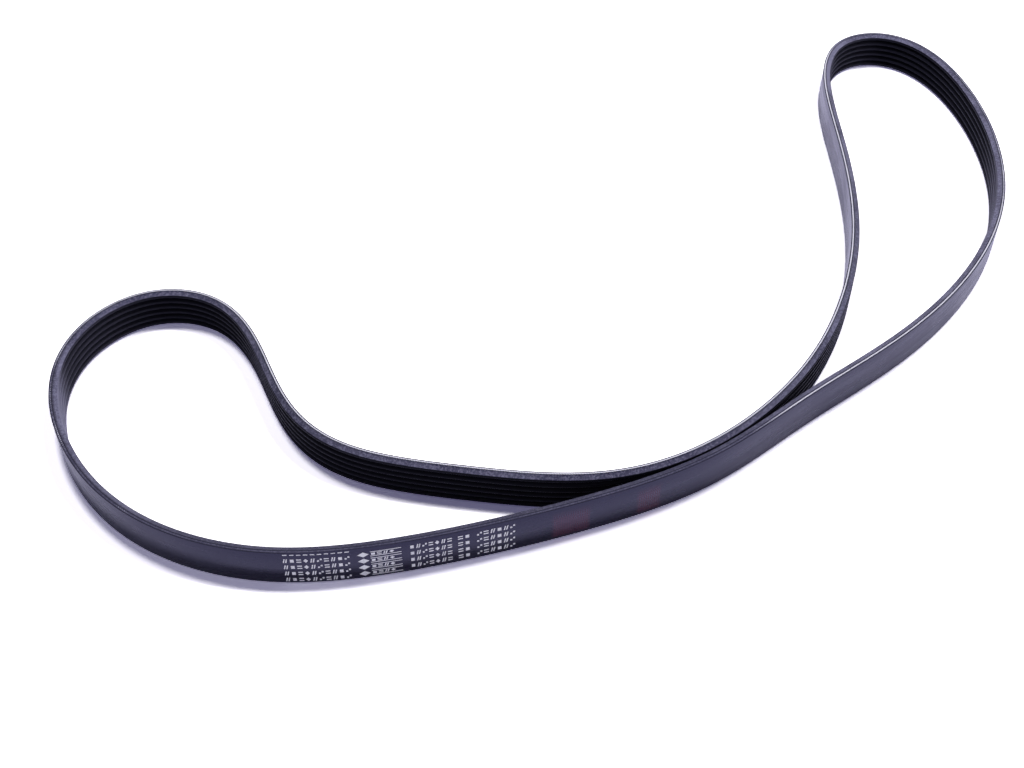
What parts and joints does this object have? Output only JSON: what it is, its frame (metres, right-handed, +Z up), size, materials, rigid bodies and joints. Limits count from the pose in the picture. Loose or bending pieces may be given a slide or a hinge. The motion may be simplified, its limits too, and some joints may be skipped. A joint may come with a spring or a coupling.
{
  "type": "serpentine belt",
  "caption": "Closed ribbed drive belt with a smooth back and lengthwise V ribs inside, resting on its cut edge in a loose loop; drives engine accessories from the crankshaft pulley.",
  "frame": {"origin": "under the middle of the loop's box, on the surface that the belt's lower cut edge stands on", "axes": "+Z up, across the belt's width; +X along the loop's longest extent, from the wide bulb towards the tight one; +Y away from the viewer of the picture"},
  "size_m": [0.4838, 0.38, 0.0214],
  "materials": {
    "belt_rubber": "matt ground rubber with a fine fabric-textured back",
    "tension_cord": "cut polyester cord showing along the edges",
    "back_marks": "thin matt ink"
  },
  "bodies": {
    "root": {"belt": "belt_rubber"}
  },
  "joints": []
}
